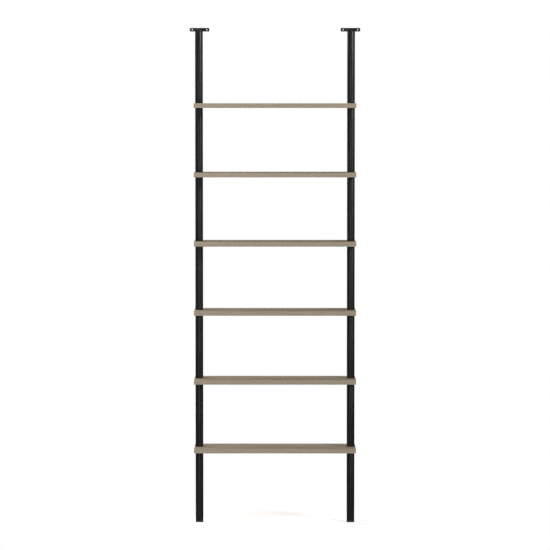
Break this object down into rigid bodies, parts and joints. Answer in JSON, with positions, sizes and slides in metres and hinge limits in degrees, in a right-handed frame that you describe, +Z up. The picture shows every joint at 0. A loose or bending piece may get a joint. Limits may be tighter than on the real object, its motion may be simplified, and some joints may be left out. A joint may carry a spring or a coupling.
{
  "type": "ladder shelf",
  "caption": "Wall-fixed ladder shelf: grey-oak boards clamped between tube sections of two round black steel posts, with a bracket to the wall at the top and a levelling foot under each post.",
  "frame": {"origin": "on the floor, midway between the posts and midway between the shelves' front edges and the wall, which is the bottom centre of the bounding box", "axes": "+X to the right as seen from the front, +Y from the front towards the wall, +Z up"},
  "size_m": [0.66, 0.184, 1.909],
  "materials": {
    "grey_oak": "matt greige oak, straight grain along the shelf",
    "black_steel": "satin black powder coat",
    "black_bolt": "black oxide, oiled",
    "zinc_steel": "bright zinc plate",
    "black_nylon": "fine moulded texture"
  },
  "bodies": {
    "frame": {"shelf_1": "grey_oak", "shelf_2": "grey_oak", "shelf_3": "grey_oak", "shelf_4": "grey_oak", "shelf_5": "grey_oak", "shelf_6": "grey_oak", "left_tube_1": "black_steel", "left_tube_2": "black_steel", "left_tube_3": "black_steel", "left_tube_4": "black_steel", "left_tube_5": "black_steel", "left_tube_6": "black_steel", "left_tube_7": "black_steel", "right_tube_1": "black_steel", "right_tube_2": "black_steel", "right_tube_3": "black_steel", "right_tube_4": "black_steel", "right_tube_5": "black_steel", "right_tube_6": "black_steel", "right_tube_7": "black_steel", "left_inserts_1": "zinc_steel", "left_inserts_2": "zinc_steel", "left_inserts_3": "zinc_steel", "left_inserts_4": "zinc_steel", "left_inserts_5": "zinc_steel", "left_inserts_6": "zinc_steel", "left_inserts_7": "zinc_steel", "right_inserts_1": "zinc_steel", "right_inserts_2": "zinc_steel", "right_inserts_3": "zinc_steel", "right_inserts_4": "zinc_steel", "right_inserts_5": "zinc_steel", "right_inserts_6": "zinc_steel", "right_inserts_7": "zinc_steel", "left_stud_1": "zinc_steel", "left_stud_2": "zinc_steel", "left_stud_3": "zinc_steel", "left_stud_4": "zinc_steel", "left_stud_5": "zinc_steel", "left_stud_6": "zinc_steel", "right_stud_1": "zinc_steel", "right_stud_2": "zinc_steel", "right_stud_3": "zinc_steel", "right_stud_4": "zinc_steel", "right_stud_5": "zinc_steel", "right_stud_6": "zinc_steel", "left_top_plug": "black_steel", "left_wall_bracket": "black_steel", "left_bracket_bolt": "black_bolt", "right_top_plug": "black_steel", "right_wall_bracket": "black_steel", "right_bracket_bolt": "black_bolt"},
    "left_foot": {"left_foot_pad": "black_nylon", "left_foot_stud": "zinc_steel"},
    "right_foot": {"right_foot_pad": "black_nylon", "right_foot_stud": "zinc_steel"}
  },
  "joints": [
    {"name": "left_foot_travel", "type": "slide", "parent": "frame", "child": "left_foot", "axis": [0, 0, -1], "range_m": [0, 0.012]},
    {"name": "right_foot_travel", "type": "slide", "parent": "frame", "child": "right_foot", "axis": [0, 0, -1], "range_m": [0, 0.012]}
  ]
}
